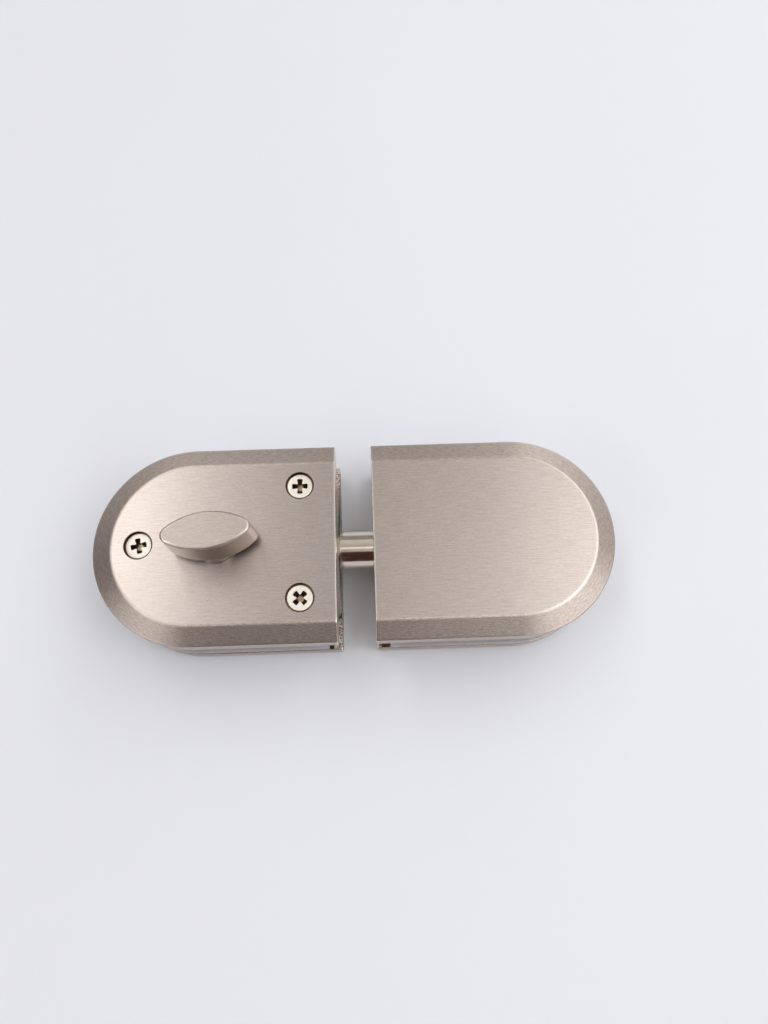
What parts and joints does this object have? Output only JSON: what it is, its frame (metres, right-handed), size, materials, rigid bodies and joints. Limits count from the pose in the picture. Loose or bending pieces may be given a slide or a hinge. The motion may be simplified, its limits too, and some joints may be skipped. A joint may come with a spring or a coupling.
{
  "type": "glass door latch",
  "caption": "Patch latch for two frameless glass door leaves: lock half with thumbturn and round sliding bolt, and a matching keeper half, each clamping the glass between two plates.",
  "frame": {"origin": "on the resting surface, midway between the flat ends of the lock half and the keeper half, on the bolt's centre plane; the bottom centre of the whole latch's box", "axes": "+X along the bolt from the lock half to the keeper half, +Z out of the front faces towards the thumbturn, +Y completes the right-handed frame"},
  "size_m": [0.155, 0.06, 0.0432],
  "materials": {
    "satin_nickel": "satin brushed nickel plate on a cast body, brushed along the bolt on the face and round the border",
    "nickel_screws": "nickel plated screw heads, lightly turned",
    "polished_bolt": "polished plated steel",
    "gasket": "soft translucent PVC sheet",
    "case_casting": "zinc casting as cast, lightly plated",
    "bush_brass": "turned brass",
    "spring_steel": "plain steel, oiled"
  },
  "bodies": {
    "lock_body": {"lock_front_plate": "satin_nickel", "lock_back_plate": "satin_nickel", "lock_front_gasket": "gasket", "lock_back_gasket": "gasket", "lock_plate_screws": "nickel_screws", "case_body": "case_casting", "case_cover": "case_casting", "case_cover_screws": "spring_steel", "bolt_bush": "bush_brass", "detent_spring": "spring_steel", "knob_bush": "bush_brass"},
    "thumbturn": {"thumbturn_knob": "satin_nickel", "spindle": "spring_steel", "cam": "bush_brass", "drive_pin": "spring_steel", "retaining_ring": "spring_steel", "knob_washer": "spring_steel"},
    "bolt": {"bolt": "polished_bolt"},
    "keeper": {"keeper_front_plate": "satin_nickel", "keeper_back_plate": "satin_nickel", "keeper_front_gasket": "gasket", "keeper_back_gasket": "gasket", "keeper_block": "case_casting", "keeper_liner": "bush_brass", "keeper_spacer": "case_casting", "keeper_screws": "nickel_screws"}
  },
  "joints": [
    {"name": "thumbturn_turn", "type": "hinge", "parent": "lock_body", "child": "thumbturn", "pos_m": [-0.0408, 0, 0.029], "axis": [0, 0, 1], "range_deg": [0, 90], "deforming": ["detent_spring"]},
    {"name": "bolt_slide", "type": "slide", "parent": "lock_body", "child": "bolt", "axis": [-1, 0, 0], "range_m": [0, 0.0178]},
    {"name": "keeper_pull", "type": "slide", "parent": "lock_body", "child": "keeper", "axis": [1, 0, 0], "range_m": [-0.008, 0.02]}
  ],
  "couplings": [
    {"joint": "bolt_slide", "follows": "thumbturn_turn", "m_per_rad": 0.01125}
  ]
}
